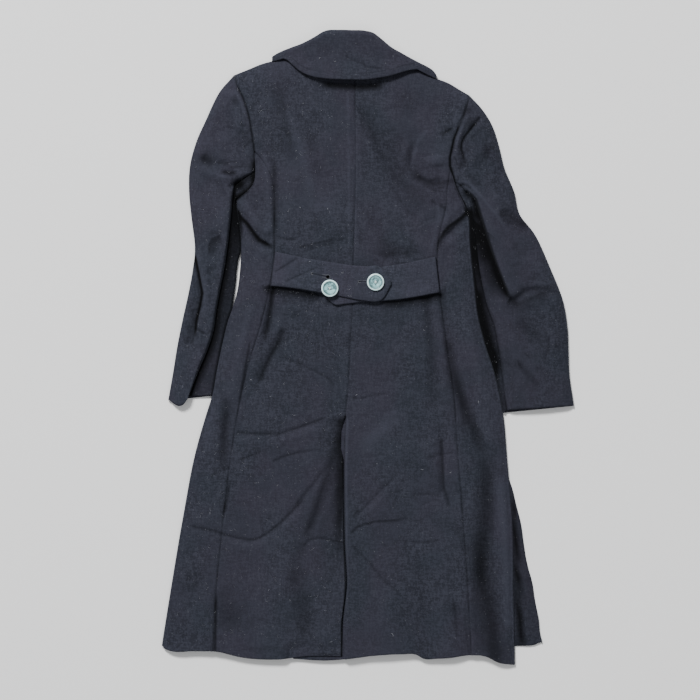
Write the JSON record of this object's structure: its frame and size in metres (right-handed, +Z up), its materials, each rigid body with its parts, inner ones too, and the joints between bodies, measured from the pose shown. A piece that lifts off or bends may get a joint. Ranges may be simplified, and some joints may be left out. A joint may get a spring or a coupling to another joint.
{
  "type": "overcoat",
  "caption": "Long wool overcoat laid flat on its front, back up, with a turned-down collar, shaped back panels, a buttoned half-belt at the waist and an open centre vent.",
  "frame": {"origin": "middle of the coat's outline, on the surface that it lies on", "axes": "+Z up from the surface, +Y towards the collar, +X to the wearer's right, which is the viewer's right because the back is up"},
  "size_m": [0.7416, 1.1416, 0.0246],
  "materials": {
    "navy_melton": "matt fulled wool with a short nap",
    "pearl_button": "pearly, polished"
  },
  "bodies": {
    "root": {"back_centre_left": "navy_melton", "back_centre_right": "navy_melton", "side_back_left": "navy_melton", "side_back_right": "navy_melton", "front_left": "navy_melton", "front_right": "navy_melton", "sleeve_left_top": "navy_melton", "sleeve_left_under": "navy_melton", "sleeve_right_top": "navy_melton", "sleeve_right_under": "navy_melton", "collar": "navy_melton", "belt_left": "navy_melton", "belt_right": "navy_melton", "button_left": "pearl_button", "button_right": "pearl_button"}
  },
  "joints": []
}
